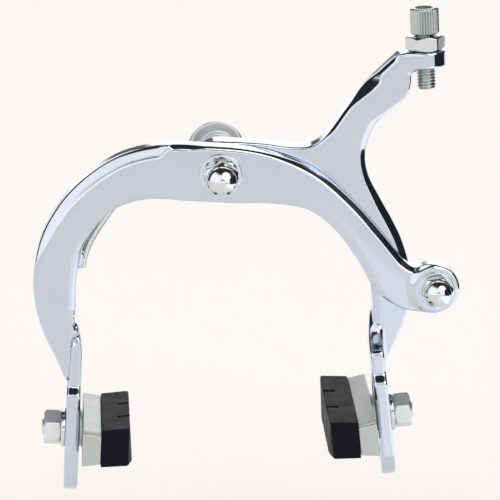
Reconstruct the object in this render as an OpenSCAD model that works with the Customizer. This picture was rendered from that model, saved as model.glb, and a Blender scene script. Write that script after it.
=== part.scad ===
// Long-reach side-pull bicycle rim brake caliper, built as a bench assembly.
// Frame: origin on the pivot bolt axis, in the plane that seats on the fork crown.
// +Y points to the rear (towards the crown), +Z up, +X to the cable side.

/* [Pivot stack] */
// Diameter of the pivot bolt
bolt_d = 6; // [5:0.5:6]
// Thickness of each forged arm, front to back
arm_t = 8; // [7.5:0.1:8]
// Length of the pivot bolt behind the crown seat
bolt_rear = 32; // [30:1:45]
// Hexagon of the cap nut and lock nut, across flats
pivot_af = 10; // [9:0.5:11]

/* [Arms] */
// Lean of each slotted leg, outwards going down, degrees
lean = 5; // [5:0.1:5]
// Thickness of the slotted legs
leg_t = 4.4; // [4:0.1:4.6]
// Depth of the slotted legs, front to back
leg_d = 16; // [15:0.5:16]
// Highest and lowest stud position below the pivot
reach_min = 73; // [72:0.5:75]
// Lowest stud position below the pivot
reach_max = 91; // [88:0.5:91.5]
// Set of the brake shoe studs below the pivot
reach = 81; // [79:0.5:85]
// Radius of the cable anchor ear
ear_r = 7.4; // [7:0.1:7.6]

/* [Brake shoes] */
// Length of the rubber block
pad_l = 44; // [38:1:48]
// Height of the rubber block
pad_h = 12.2; // [10:0.2:13]
// Set of the right shoe: its rear end tilted up about the stud, degrees
shoe_rock = 4.4; // [0:0.2:4.4]
// Set of the right shoe: how much higher it is clamped than the left
shoe_lift = 1; // [0:0.2:2]
// Width of the two water grooves
groove_w = 1.1; // [0.8:0.1:2]

/* [Cable parts] */
// Hexagon of the barrel lock nut, across flats
barrel_af = 11; // [10:0.5:11]
// Diameter of the knurled head
knurl_d = 9; // [8:0.5:10]
// Number of knurl ridges
knurls = 30; // [20:1:40]
// Diameter of the housing socket
socket_d = 5.2; // [5:0.1:5.4]

/* [Spring] */
// Wire diameter of the return spring
wire_d = 2.6; // [2:0.1:2.6]

/* [Hidden] */

bolt_r = bolt_d / 2;
tail_r = bolt_r - 0.05;     // last stretch of thread, past the nut
fit_r = bolt_r + 0.02;      // nuts and pressed parts on the bolt
run_r = bolt_r + 0.05;      // running fit of the bushes
bush_r = bolt_r + 1.2;

// stations along Y, from the crown seat forwards
y_block1 = -1.4;
y_block0 = -9.4;
y_rear1 = -10;              // back of the rear arm
y_rear0 = y_rear1 - arm_t;  // front of the rear arm
y_front1 = y_rear0 - 0.7;   // back of the front arm
y_front0 = y_front1 - arm_t;
y_wash0 = y_front0 - 1;
y_lock0 = y_wash0 - 3;
leg_yc = -19.5;
leg_x = 50.3;               // leg middle at the stud, from the pivot
slot_r = bolt_r + 0.25;

// cable line
cab_x = 66;
cab_y = -13.6;
ear_z = -40;
swing = 1.4;                // the right leg is set a little closer in than the left

// ---- curves ----
function cr(a, b, c, d, t) = 0.5 * ((2 * b) + (c - a) * t
  + (2 * a - 5 * b + 4 * c - d) * t * t + (3 * b - a - 3 * c + d) * t * t * t);
function at(p, i) = p[max(0, min(len(p) - 1, i))];
function spline(p, n) = concat([for (i = [0 : len(p) - 2], k = [0 : n - 1])
  cr(at(p, i - 1), at(p, i), at(p, i + 1), at(p, i + 2), k / n)], [p[len(p) - 1]]);

// front arm, cable ear to left leg over the top, then back along the inside
c_top = [[66, -32.4], [61, -33.2], [57, -31.6], [50, -22.4], [41, -11.2], [31, -1.6],
  [20, 4.2], [8, 7.6], [-5, 9.3], [-17, 10.1], [-30, 7.8], [-41, 1.7], [-50, -6.6],
  [-57, -18.2], [-60, -32], [-58.5, -45], [-53.9, -57], [-50.4, -66]];
c_in = [[-48, -66], [-47.2, -56], [-46.9, -45], [-46.6, -33], [-44.5, -22.6],
  [-39.4, -14.6], [-32, -9], [-22, -6.9], [-10, -8], [4, -9.4], [16, -10.2],
  [27, -12.8], [35, -19.6], [41.4, -29], [46, -38], [50.5, -43], [57, -46.6], [66, -47.6]];
// rear arm: over the pivot, up to the cable ear, down the outside, back inside
y_upper = [[-1, 7.4], [3, 8.5], [8, 8.1], [15, 7.2], [22.5, 5.8], [29.5, 5.9], [34.5, 9.4], [40, 16.4],
  [46, 23.5], [52, 29], [57.4, 33.6]];
y_outer = [[61, 27.2], [60.8, 23.6], [59, 19.3], [53.6, 15.4], [48.6, 10], [46, 2.5],
  [46.8, -5], [50.4, -13], [54, -20.2], [56.8, -27], [58.6, -34.5], [58.9, -43],
  [57.2, -50.5], [53.4, -58.5], [49.4, -66]];
y_in = [[46.6, -66], [46.4, -56], [46.6, -46], [45.4, -36.5], [40.6, -27], [34, -18.4],
  [26.4, -11.9], [15.5, -9.4], [5, -8.8], [-1, -7.4]];

// spring line: centre over the block, right leg flat, left leg set forwards
s_left = [[-44.6, -14, -30.5], [-43.8, -14, -26.6], [-41.4, -13.5, -21.5],
  [-36.6, -12.5, -14.8], [-30, -10.6, -7.4], [-22, -8.2, -0.8], [-14, -6.2, 3.5], [-7, -5.4, 5.2]];
s_right = [[0, -5.4, 5.3], [7, -5.4, 5.2], [14, -5.4, 3.5], [22, -5.4, -0.8],
  [30, -5.4, -7.4], [36.6, -5.4, -14.8], [41.4, -5.4, -21.5], [44.1, -5.4, -27.5], [45.2, -5.4, -33.5]];

// ---- helpers ----
module along_y(x, y, z) translate([x, y, z]) rotate([-90, 0, 0]) children();
module along_x(x) translate([x, 0, 0]) rotate([0, 90, 0]) children();
module y_cyl(x, y0, y1, z, r, fn = 64) along_y(x, y0, z) cylinder(r = r, h = y1 - y0, $fn = fn);
// plate drawn in X-Z, from y0 back to y1
module plate(y0, y1) translate([0, y1, 0]) rotate([90, 0, 0]) linear_extrude(y1 - y0) children();

module ring(r_out, r_in, h) difference() {
  cylinder(r = r_out, h = h, $fn = 72);
  translate([0, 0, -1]) cylinder(r = r_in, h = h + 2, $fn = 72);
}
// hexagon with both faces chamfered, standing on z = 0
module hex(af, h, low = true) intersection() {
  cylinder(d = af / cos(30), h = h, $fn = 6);
  rotate_extrude($fn = 72) polygon([[0, 0], [low ? af / 2 * 0.97 : af, 0],
    [low ? af / 2 + 1.2 : af, low ? 0.75 : 0], [af / 2 + 1.2, h - 0.75], [af / 2 * 0.97, h], [0, h]]);
}
module hex_nut(af, h, r) difference() {
  hex(af, h);
  translate([0, 0, -1]) cylinder(r = r, h = h + 2, $fn = 64);
}
// closed nut, open end at z = 0
module cap_nut(af, h_hex, h_all, r, depth) difference() {
  union() {
    hex(af, h_hex);
    translate([0, 0, h_hex - 0.4]) cylinder(r = af / 2 * 0.94, h = h_all - h_hex - af * 0.29, $fn = 72);
    intersection() {
      translate([0, 0, h_all - af * 0.53]) sphere(r = af * 0.53, $fn = 72);
      cylinder(r = af / 2 * 0.94, h = h_all + 1, $fn = 72);
    }
  }
  translate([0, 0, -1]) cylinder(r = r, h = depth + 1, $fn = 64);
}

// ---- legs ----
// side outline of a slotted leg: narrow neck, wide slotted blade, round foot
module leg_side(y_top0, y_top1, up, bend, foot) {
  zc = reach - reach_max - foot;
  translate([leg_yc, zc]) circle(r = leg_d / 2, $fn = 72);
  polygon(concat([[leg_yc - leg_d / 2, zc], [leg_yc - leg_d / 2, 12.6], [leg_yc - 5.8, 14.9]],
    spline([[leg_yc - 5.8, 18], [leg_yc - 5.8, bend], [y_top0 + 0.2, up]], 5),
    spline([[y_top1 - 0.2, 33], [leg_yc + 5.8, 26], [leg_yc + 5.8, 20], [leg_yc + leg_d / 2 - 0.8, 16], [leg_yc + leg_d / 2, 12]], 5),
    [[leg_yc + leg_d / 2, 8], [leg_yc + leg_d / 2, zc]]));
}
module left_frame() translate([-leg_x, 0, -reach]) rotate([0, lean, 0]) children();
module leg(y_top0, y_top1, up, bend, foot) left_frame() difference() {
  translate([-leg_t / 2, 0, 0]) rotate([90, 0, 90]) linear_extrude(leg_t) leg_side(y_top0, y_top1, up, bend, foot);
  slot_cut();
  // the top runs out into the arm
  translate([leg_t / 2, -50, 26]) rotate([0, -17, 0]) cube([6, 60, 30]);
}
module slot_cut() {
  zt = reach - reach_min;
  zb = reach - reach_max;
  for (z = [zt, zb]) translate([-9, leg_yc, z]) rotate([0, 90, 0]) cylinder(r = slot_r, h = 18, $fn = 48);
  translate([-9, leg_yc - slot_r, zb]) cube([18, 2 * slot_r, zt - zb]);
}

// ---- arms ----
module front_arm() color([0.80, 0.81, 0.84]) difference() {
  union() {
    plate(y_front0, y_front1) polygon(concat(spline(c_top, 4), spline(c_in, 4)));
    y_cyl(cab_x, y_front0 - 0.6, y_front1, ear_z, ear_r);
    y_cyl(cab_x, y_front1 - 1, y_front1 + 1.9, ear_z, 5.2);
    y_cyl(-47.4, y_front1 - 2, -11, -25.5, 2.4);
    y_cyl(-46.6, y_front1 - 4.5, y_front1 + 0.8, -25.4, 3.2);
    leg(y_front0, y_front1, 37, 26, 2);
  }
  y_cyl(0, y_front0 - 1, y_front1 + 1, 0, bush_r);
  y_cyl(cab_x, y_front0 - 2, y_front1 + 3, ear_z, bolt_r + 0.06);
}
module rear_arm() color([0.78, 0.79, 0.82]) difference() {
  union() {
    plate(y_rear0, y_rear1) polygon(concat(spline(y_upper, 4), [[66, 33.5], [66, 30.6]], spline(y_outer, 4), spline(y_in, 4)));
    y_cyl(0, y_rear0, y_rear1, 0, 8.8);
    y_cyl(48.3, y_rear1 - 2, -3, -27.5, 2.4);
    translate([cab_x, cab_y, 28.7]) cylinder(r = 6.3, h = 5.1, $fn = 72);
    rotate([0, swing, 0]) mirror([1, 0, 0]) leg(y_rear0, y_rear1, 28.8, 21.8, 1.2);
  }
  y_cyl(0, y_rear0 - 1, y_rear1 + 1, 0, bush_r);
  translate([cab_x, cab_y, 20]) cylinder(r = bolt_r + 0.06, h = 16, $fn = 64);
}
module bush(y0, y1) color([0.72, 0.60, 0.35]) along_y(0, y0, 0) ring(bush_r, run_r, y1 - y0);
module front_arm_bush() bush(y_front0 + 0.05, y_front1 - 0.05);
module rear_arm_bush() bush(y_rear0 + 0.05, y_rear1 - 0.05);

// ---- pivot hardware ----
module pivot_bolt() color([0.70, 0.71, 0.72]) {
  y_cyl(0, y_lock0 - 5, 19.9, 0, bolt_r);
  y_cyl(0, 19.8, 20.7, 0, bolt_r - 0.3);
  y_cyl(0, 20.6, bolt_rear - 0.8, 0, tail_r);
  along_y(0, bolt_rear - 0.8, 0) cylinder(r1 = tail_r, r2 = tail_r - 0.65, h = 0.8, $fn = 64);
}
module star(n, r0, r1) polygon([for (i = [0 : 2 * n - 1]) let (a = i * 180 / n, r = i % 2 == 0 ? r1 : r0) [r * cos(a), r * sin(a)]]);
module toothed_washer() color([0.66, 0.67, 0.68]) along_y(0, y_block1, 0) difference() {
  linear_extrude(-y_block1) star(18, 5.7, 6.9);
  translate([0, 0, -1]) cylinder(r = bolt_r + 0.15, h = 4, $fn = 64);
}
module spring_block() color([0.72, 0.74, 0.74]) difference() {
  union() {
    y_cyl(0, y_block0, y_block1, 3, 6);
    translate([-6, y_block0, -7]) cube([12, y_block1 - y_block0, 10]);
  }
  y_cyl(0, y_block0 - 1, y_block1 + 1, 0, fit_r);
  translate([-10, -5.4 - wire_d / 2 - 0.12, 3.85]) cube([20, wire_d + 0.24, 10]);
}
module rear_thrust_washer() color([0.93, 0.93, 0.90]) along_y(0, y_block0 + 0.02 - 0.6, 0) ring(7, bolt_r + 0.15, 0.56);
module arm_washer() color([0.75, 0.62, 0.36]) along_y(0, y_front1 + 0.03, 0) ring(7.6, bolt_r + 0.15, 0.64);
module front_washer() color([0.76, 0.77, 0.78]) along_y(0, y_wash0, 0) ring(6.6, bolt_r + 0.15, 0.97);
module pivot_lock_nut() color([0.74, 0.75, 0.76]) along_y(0, y_lock0, 0) rotate([0, 0, 12]) hex_nut(pivot_af, 3, fit_r);
module pivot_cap_nut() color([0.82, 0.83, 0.84]) translate([0, y_lock0, 0]) rotate([90, 0, 0]) rotate([0, 0, 24])
  cap_nut(pivot_af, 4.4, 9.6, fit_r, 5.3);
module saddle_washer() color([0.72, 0.73, 0.74]) difference() {
  along_y(0, 8, 0) ring(9.2, bolt_r + 0.3, 5);
  translate([0, 8 - 13.2, -12]) cylinder(r = 15, h = 24, $fn = 96);
}
module mounting_washer() color([0.74, 0.75, 0.76]) along_y(0, 13, 0) ring(6.6, bolt_r + 0.2, 1);
module mounting_nut() color([0.70, 0.71, 0.72]) along_y(0, 14, 0) difference() {
  union() {
    hex(10, 4.6);
    cylinder(r = 4.5, h = 6, $fn = 72);
  }
  translate([0, 0, -1]) cylinder(r = fit_r, h = 5.4, $fn = 64);
  translate([0, 0, 4.4]) cylinder(r = 3.9, h = 1.3, $fn = 64);
  translate([0, 0, 4]) cylinder(r = 3.5, h = 4, $fn = 64);
}
module mounting_nut_insert() color([0.20, 0.35, 0.65]) along_y(0, 18.4, 0) ring(3.9, fit_r, 1.3);

// ---- return spring ----
function dirs(p) = [for (i = [0 : len(p) - 1]) let (d = at(p, i + 1) - at(p, i - 1)) d / norm(d)];
module sweep(p, r, n) {
  t = dirs(p);
  pts = [for (i = [0 : len(p) - 1]) let (u = cross(t[i], [0, 1, 0]), a = u / norm(u), b = cross(t[i], a))
    for (k = [0 : n - 1]) p[i] + r * (a * cos(k * 360 / n) + b * sin(k * 360 / n))];
  m = len(p);
  polyhedron(pts, concat([[for (k = [0 : n - 1]) k]], [[for (k = [n - 1 : -1 : 0]) (m - 1) * n + k]],
    [for (i = [0 : m - 2], k = [0 : n - 1]) let (a = i * n + k, b = i * n + (k + 1) % n) [a, a + n, b + n, b]]), convexity = 8);
}
module return_spring() color([0.62, 0.64, 0.66]) sweep(spline(concat(s_left, s_right), 4), wire_d / 2, 8);

// ---- barrel adjuster ----
module barrel_adjuster() color([0.62, 0.65, 0.63]) translate([cab_x, cab_y, 0]) difference() {
  union() {
    translate([0, 0, 22.2]) cylinder(r = bolt_r, h = 17.5, $fn = 64);
    translate([0, 0, 21.6]) cylinder(r1 = bolt_r - 0.6, r2 = bolt_r, h = 0.6, $fn = 64);
    translate([0, 0, 38.9]) intersection() {
      linear_extrude(8.4) star(knurls, knurl_d / 2 - 0.35, knurl_d / 2);
      rotate_extrude($fn = 72) polygon([[0, 0], [knurl_d / 2 - 0.5, 0], [knurl_d / 2 + 0.1, 0.6],
        [knurl_d / 2 + 0.1, 7.7], [knurl_d / 2 - 0.6, 8.4], [0, 8.4]]);
    }
  }
  translate([0, 0, 40.3]) cylinder(d = socket_d, h = 10, $fn = 64);
  translate([0, 0, 20]) cylinder(r = 1.3, h = 30, $fn = 48);
}
module barrel_lock_nut() color([0.80, 0.81, 0.80]) translate([cab_x, cab_y, 33.95]) rotate([0, 0, 2]) hex_nut(barrel_af, 4.6, fit_r);

// ---- cable anchor ----
module anchor_bolt() color([0.70, 0.71, 0.72]) difference() {
  union() {
    y_cyl(cab_x, y_front0 - 6.4, -15, ear_z, bolt_r);
    along_y(cab_x, -15.2, ear_z) hex(9, 4.2);
  }
  translate([cab_x, cab_y, ear_z - 8]) cylinder(r = 1.1, h = 16, $fn = 48);
}
module anchor_clamp_washer() color([0.74, 0.75, 0.76]) along_y(cab_x, y_front1 + 1.93, ear_z) ring(5, bolt_r + 0.1, 1.55);
module anchor_front_washer() color([0.76, 0.77, 0.78]) along_y(cab_x, y_front0 - 1.6, ear_z) ring(5.6, bolt_r + 0.1, 0.97);
module anchor_cap_nut() color([0.82, 0.83, 0.84]) translate([cab_x, y_front0 - 1.6, ear_z]) rotate([90, 0, 0]) rotate([0, 0, 8])
  cap_nut(9, 4, 8.4, fit_r, 5);

// ---- brake shoes, drawn for the left side with +X towards the wheel ----
module left_place() translate([-leg_x, leg_yc, -reach]) rotate([0, lean, 0]) children();
module right_clamp_place() rotate([0, swing, 0]) mirror([1, 0, 0]) left_place() translate([0, 0, shoe_lift]) children();
module right_place() right_clamp_place() rotate([shoe_rock, 0, 0]) children();

pt = pad_h * 0.54;          // top of the block above the stud line, at the wheel side
pb = pad_h * 0.46;          // bottom of the block below it
pad_x = 18.4;               // brake face at the stud line
wedge = tan(lean);
module pad() color([0.09, 0.09, 0.10]) {
  difference() {
    // block, with its brake face upright when the shoe leans with the leg
    translate([0, pad_l / 2, 0]) rotate([90, 0, 0]) linear_extrude(pad_l)
      polygon([[9.05, -pt + 0.1], [pad_x + pb * wedge, -pb], [pad_x - pt * wedge, pt], [9.05, pb - 0.2]]);
    for (s = [-1, 1]) {
      translate([14, s * pad_l / 6 - groove_w / 2, -10]) cube([12, groove_w, 20]);
      // lead-in at each end of the brake face
      translate([pad_x + 0.9, s * pad_l / 2, -10]) rotate([0, 0, s * 14]) translate([-0.9, -9, 0]) cube([6, 18, 20]);
    }
  }
  // tongue held by the shoe
  translate([0, pad_l / 2 - 0.1, 0]) rotate([90, 0, 0]) linear_extrude(pad_l - 2.6)
    polygon([[9.1, -3.2], [9.1, 3.2], [5.8, 3.9], [5.8, -3.9]]);
}
module holder() color([0.76, 0.78, 0.77]) difference() {
  translate([0, pad_l / 2, 0]) rotate([90, 0, 0]) linear_extrude(pad_l)
    polygon([[3.2, -6.4], [3.2, 5.4], [9, 4.7], [9, -5.5]]);
  // dovetail channel, open at the rear
  translate([0, pad_l / 2 + 1, 0]) rotate([90, 0, 0]) linear_extrude(pad_l - 1.4)
    polygon([[9.5, -3.2], [9.5, 3.2], [5.7, 4], [5.7, -4]]);
  along_x(0) cylinder(r = 2.5, h = 6, $fn = 48);
}
module stud() color([0.70, 0.71, 0.72]) {
  along_x(-9) cylinder(r = bolt_r, h = 12.1, $fn = 64);
  along_x(3) cylinder(r = 2.47, h = 2.6, $fn = 48);
  along_x(-9.6) cylinder(r1 = bolt_r - 0.6, r2 = bolt_r, h = 0.6, $fn = 64);
}
module inner_washer() color([0.74, 0.75, 0.76]) along_x(2.22) ring(6, bolt_r + 0.15, 0.94);
module outer_washer() color([0.74, 0.75, 0.76]) along_x(-3.6) ring(6.2, bolt_r + 0.15, 1.37);
module shoe_nut() color([0.74, 0.76, 0.76]) along_x(-9) rotate([0, 0, 3]) hex_nut(10, 5.4, fit_r);

module left_pad() left_place() pad();
module left_shoe_holder() left_place() holder();
module left_shoe_stud() left_place() stud();
module left_inner_washer() left_place() inner_washer();
module left_outer_washer() left_place() outer_washer();
module left_shoe_nut() left_place() shoe_nut();
module right_pad() right_place() pad();
module right_shoe_holder() right_place() holder();
module right_shoe_stud() right_place() stud();
module right_inner_washer() right_clamp_place() inner_washer();
module right_outer_washer() right_clamp_place() outer_washer();
module right_shoe_nut() right_clamp_place() shoe_nut();

pivot_bolt();
toothed_washer();
spring_block();
return_spring();
rear_thrust_washer();
arm_washer();
front_washer();
pivot_lock_nut();
pivot_cap_nut();
saddle_washer();
mounting_washer();
mounting_nut();
mounting_nut_insert();
rear_arm();
rear_arm_bush();
front_arm();
front_arm_bush();
barrel_adjuster();
barrel_lock_nut();
anchor_bolt();
anchor_clamp_washer();
anchor_front_washer();
anchor_cap_nut();
left_pad();
left_shoe_holder();
left_shoe_stud();
left_inner_washer();
left_outer_washer();
left_shoe_nut();
right_pad();
right_shoe_holder();
right_shoe_stud();
right_inner_washer();
right_outer_washer();
right_shoe_nut();
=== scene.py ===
import math

import bpy
import numpy as np
from mathutils import Matrix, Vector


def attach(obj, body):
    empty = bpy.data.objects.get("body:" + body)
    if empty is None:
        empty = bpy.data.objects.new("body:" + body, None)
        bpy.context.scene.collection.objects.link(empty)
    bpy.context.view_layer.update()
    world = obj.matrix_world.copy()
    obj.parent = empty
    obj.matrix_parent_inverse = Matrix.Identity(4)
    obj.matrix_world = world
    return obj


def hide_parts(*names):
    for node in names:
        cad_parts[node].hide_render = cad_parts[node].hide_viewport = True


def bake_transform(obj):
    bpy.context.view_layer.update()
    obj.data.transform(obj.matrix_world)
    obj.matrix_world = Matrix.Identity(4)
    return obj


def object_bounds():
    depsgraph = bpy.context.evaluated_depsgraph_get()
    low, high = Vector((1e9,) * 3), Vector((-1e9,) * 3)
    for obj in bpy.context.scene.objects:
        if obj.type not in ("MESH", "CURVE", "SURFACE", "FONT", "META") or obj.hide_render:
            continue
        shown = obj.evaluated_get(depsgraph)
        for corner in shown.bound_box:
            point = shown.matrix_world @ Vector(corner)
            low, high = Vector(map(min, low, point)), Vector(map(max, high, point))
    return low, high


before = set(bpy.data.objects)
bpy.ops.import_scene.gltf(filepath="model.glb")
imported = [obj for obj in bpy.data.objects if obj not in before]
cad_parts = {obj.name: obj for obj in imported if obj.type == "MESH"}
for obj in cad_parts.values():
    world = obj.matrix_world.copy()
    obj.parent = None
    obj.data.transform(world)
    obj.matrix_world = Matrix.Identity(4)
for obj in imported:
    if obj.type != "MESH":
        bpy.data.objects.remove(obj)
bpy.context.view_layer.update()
MM = 0.001

# ---------------------------------------------------------------- sizes, in mm
STUD_X, STUD_Y, STUD_Z = -50.3, -19.5, -81.0
LEAN, SWING = math.radians(5.0), math.radians(1.4)
ROCK, LIFT = math.radians(4.4), 1.0
LEG_T = 4.4
CAB_X, CAB_Y, EAR_Z = 66.0, -13.6, -40.0
Y_FRONT0, Y_FRONT1 = -26.7, -18.7
Y_REAR0, Y_REAR1 = -18.0, -10.0

C_TOP = [[66, -32.4], [61, -33.2], [57, -31.6], [50, -22.4], [41, -11.2], [31, -1.6], [20, 4.2], [8, 7.6], [-5, 9.3],
         [-17, 10.1], [-30, 7.8], [-41, 1.7], [-50, -6.6], [-57, -18.2], [-60, -32], [-58.5, -45], [-53.9, -57], [-51.3, -64.2]]
C_IN = [[-50.7, -64.4], [-49.9, -58.6], [-49.1, -52.5], [-48.2, -47.2], [-47.2, -41.5], [-46.6, -33], [-44.5, -22.6], [-39.4, -14.6], [-32, -9], [-22, -6.9],
        [-10, -8], [4, -9.4], [16, -10.2], [27, -12.8], [35, -19.6], [41.4, -29], [46, -38], [50.5, -43], [57, -46.6], [66, -47.6]]
Y_UPPER = [[-1, 7.4], [3, 8.5], [8, 8.1], [15, 7.2], [22.5, 5.8], [29.5, 5.9], [34.5, 9.4], [40, 16.4], [46, 23.5], [52, 29],
           [57.4, 33.6]]
Y_OUTER = [[61, 27.2], [60.8, 23.6], [59, 19.3], [53.6, 15.4], [48.6, 10], [46, 2.5], [46.8, -5], [50.4, -13], [54, -20.2],
           [56.8, -27], [58.6, -34.5], [58.9, -43], [57.2, -50.5], [53.4, -58.5], [49.4, -66]]
Y_IN = [[46.6, -66], [46.4, -56], [46.6, -46], [45.4, -36.5], [40.6, -27], [34, -18.4], [26.4, -11.9], [15.5, -9.4],
        [5, -8.8], [-1, -7.4]]
S_LEFT = [[-44.6, -14, -30.5], [-43.8, -14, -26.6], [-41.4, -13.5, -21.5], [-36.6, -12.5, -14.8], [-30, -10.6, -7.4],
          [-22, -8.2, -0.8], [-14, -6.2, 3.5], [-7, -5.4, 5.2]]
S_RIGHT = [[0, -5.4, 5.3], [7, -5.4, 5.2], [14, -5.4, 3.5], [22, -5.4, -0.8], [30, -5.4, -7.4], [36.6, -5.4, -14.8],
           [41.4, -5.4, -21.5], [44.1, -5.4, -27.5], [45.2, -5.4, -33.5]]


# ---------------------------------------------------------------- materials
def material(name, color, metallic, rough, grain=0.0, grain_scale=900.0, rough_spread=0.04, tint=0.03,
             spec=0.5, coat=0.0, streak=0.0):
    m = bpy.data.materials.new(name)
    m.use_nodes = True
    t = m.node_tree
    t.nodes.clear()
    out = t.nodes.new("ShaderNodeOutputMaterial")
    b = t.nodes.new("ShaderNodeBsdfPrincipled")
    t.links.new(b.outputs[0], out.inputs[0])
    b.inputs["Metallic"].default_value = metallic
    b.inputs["Specular IOR Level"].default_value = spec
    b.inputs["Coat Weight"].default_value = coat
    b.inputs["Coat Roughness"].default_value = 0.25
    co = t.nodes.new("ShaderNodeTexCoord")
    # slow blotches: handling marks, plating and polishing differences
    n1 = t.nodes.new("ShaderNodeTexNoise")
    n1.inputs["Scale"].default_value = 60.0
    n1.inputs["Detail"].default_value = 4.0
    t.links.new(co.outputs["Object"], n1.inputs["Vector"])
    ramp = t.nodes.new("ShaderNodeValToRGB")
    ramp.color_ramp.elements[0].position = 0.3
    ramp.color_ramp.elements[1].position = 0.7
    lo = [max(0.0, c * (1 - tint)) for c in color]
    hi = [min(1.0, c * (1 + tint)) for c in color]
    ramp.color_ramp.elements[0].color = (*lo, 1)
    ramp.color_ramp.elements[1].color = (*hi, 1)
    t.links.new(n1.outputs["Fac"], ramp.inputs["Fac"])
    t.links.new(ramp.outputs["Color"], b.inputs["Base Color"])
    # roughness, with a finer pattern
    n2 = t.nodes.new("ShaderNodeTexNoise")
    n2.inputs["Scale"].default_value = 240.0
    n2.inputs["Detail"].default_value = 5.0
    t.links.new(co.outputs["Object"], n2.inputs["Vector"])
    mr = t.nodes.new("ShaderNodeMapRange")
    mr.inputs["From Min"].default_value = 0.3
    mr.inputs["From Max"].default_value = 0.7
    mr.inputs["To Min"].default_value = max(0.01, rough - rough_spread)
    mr.inputs["To Max"].default_value = rough + rough_spread
    t.links.new(n2.outputs["Fac"], mr.inputs["Value"])
    t.links.new(mr.outputs["Result"], b.inputs["Roughness"])
    if grain > 0:
        mp = t.nodes.new("ShaderNodeMapping")
        if streak > 0:
            mp.inputs["Scale"].default_value = (1.0, streak, 1.0)
        t.links.new(co.outputs["Object"], mp.inputs["Vector"])
        n3 = t.nodes.new("ShaderNodeTexNoise")
        n3.inputs["Scale"].default_value = grain_scale
        n3.inputs["Detail"].default_value = 3.0
        t.links.new(mp.outputs["Vector"], n3.inputs["Vector"])
        bump = t.nodes.new("ShaderNodeBump")
        bump.inputs["Strength"].default_value = grain
        bump.inputs["Distance"].default_value = 0.00025
        t.links.new(n3.outputs["Fac"], bump.inputs["Height"])
        t.links.new(bump.outputs["Normal"], b.inputs["Normal"])
    return m


MAT = {
    "arm_alloy": material("arm_alloy", (0.59, 0.635, 0.72), 1.0, 0.085, grain=0.03, grain_scale=700, rough_spread=0.02, tint=0.02),
    "bright_steel": material("bright_steel", (0.68, 0.71, 0.73), 1.0, 0.12, grain=0.04, grain_scale=1200, rough_spread=0.03),
    "zinc_steel": material("zinc_steel", (0.69, 0.73, 0.735), 1.0, 0.45, grain=0.10, grain_scale=1500, rough_spread=0.06, tint=0.06),
    "spring_wire": material("spring_wire", (0.60, 0.63, 0.64), 1.0, 0.22, grain=0.10, grain_scale=1400, rough_spread=0.05, tint=0.06),
    "barrel_metal": material("barrel_metal", (0.50, 0.545, 0.53), 1.0, 0.26, grain=0.10, grain_scale=1400, rough_spread=0.06, tint=0.05),
    "bronze": material("bronze", (0.72, 0.56, 0.33), 1.0, 0.34, grain=0.15, grain_scale=1500, rough_spread=0.05, tint=0.06),
    "nylon_natural": material("nylon_natural", (0.84, 0.84, 0.79), 0.0, 0.45, grain=0.06, grain_scale=900),
    "nylon_blue": material("nylon_blue", (0.06, 0.17, 0.42), 0.0, 0.42, grain=0.06, grain_scale=900),
    "shoe_alloy": material("shoe_alloy", (0.50, 0.53, 0.52), 1.0, 0.44, grain=0.30, grain_scale=1100, rough_spread=0.05, tint=0.03),
    "pad_rubber": material("pad_rubber", (0.004, 0.0055, 0.0085), 0.0, 0.48, grain=0.22, grain_scale=1000, rough_spread=0.06,
                           tint=0.15, spec=0.08),
}


# ---------------------------------------------------------------- mesh helpers
def build(name, verts, faces, mat, body=None, nodes=(), normals=None, sharp=38.0, weighted=True):
    """verts in mm, faces a list of index arrays. Makes a closed, outward-facing, smooth-shaded mesh."""
    v = np.asarray(verts, float).reshape(-1, 3)
    groups = [np.asarray(f, np.int64) for f in faces if len(f)]
    vol = 0.0
    for f in groups:
        for k in range(1, f.shape[1] - 1):
            a, b, c = v[f[:, 0]], v[f[:, k]], v[f[:, k + 1]]
            vol += float(np.einsum("ij,ij->i", a, np.cross(b, c)).sum())
    if vol < 0:
        groups = [f[:, ::-1] for f in groups]
        if normals is not None:
            pass
    idx = np.concatenate([f.ravel() for f in groups]).astype(np.int32)
    counts = np.concatenate([np.full(len(f), f.shape[1]) for f in groups])
    starts = (np.cumsum(counts) - counts).astype(np.int32)
    me = bpy.data.meshes.new(name)
    me.vertices.add(len(v))
    me.vertices.foreach_set("co", (v * MM).astype(np.float32).ravel())
    me.loops.add(len(idx))
    me.polygons.add(len(counts))
    me.polygons.foreach_set("loop_start", starts)
    me.polygons.foreach_set("vertices", idx)
    me.update(calc_edges=True)
    me.validate()
    me.polygons.foreach_set("use_smooth", np.ones(len(me.polygons), bool))
    o = bpy.data.objects.new(name, me)
    bpy.context.scene.collection.objects.link(o)
    me.materials.append(MAT[mat])
    if normals is not None and len(normals) == len(me.vertices):
        me.normals_split_custom_set_from_vertices(np.asarray(normals, float).tolist())
    else:
        me.set_sharp_from_angle(angle=math.radians(sharp))
        if weighted:
            w = o.modifiers.new("weighted", "WEIGHTED_NORMAL")
            w.keep_sharp = True
            w.weight = 60
    if body:
        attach(o, body)
    if nodes:
        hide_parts(*nodes)
    return o


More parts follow.
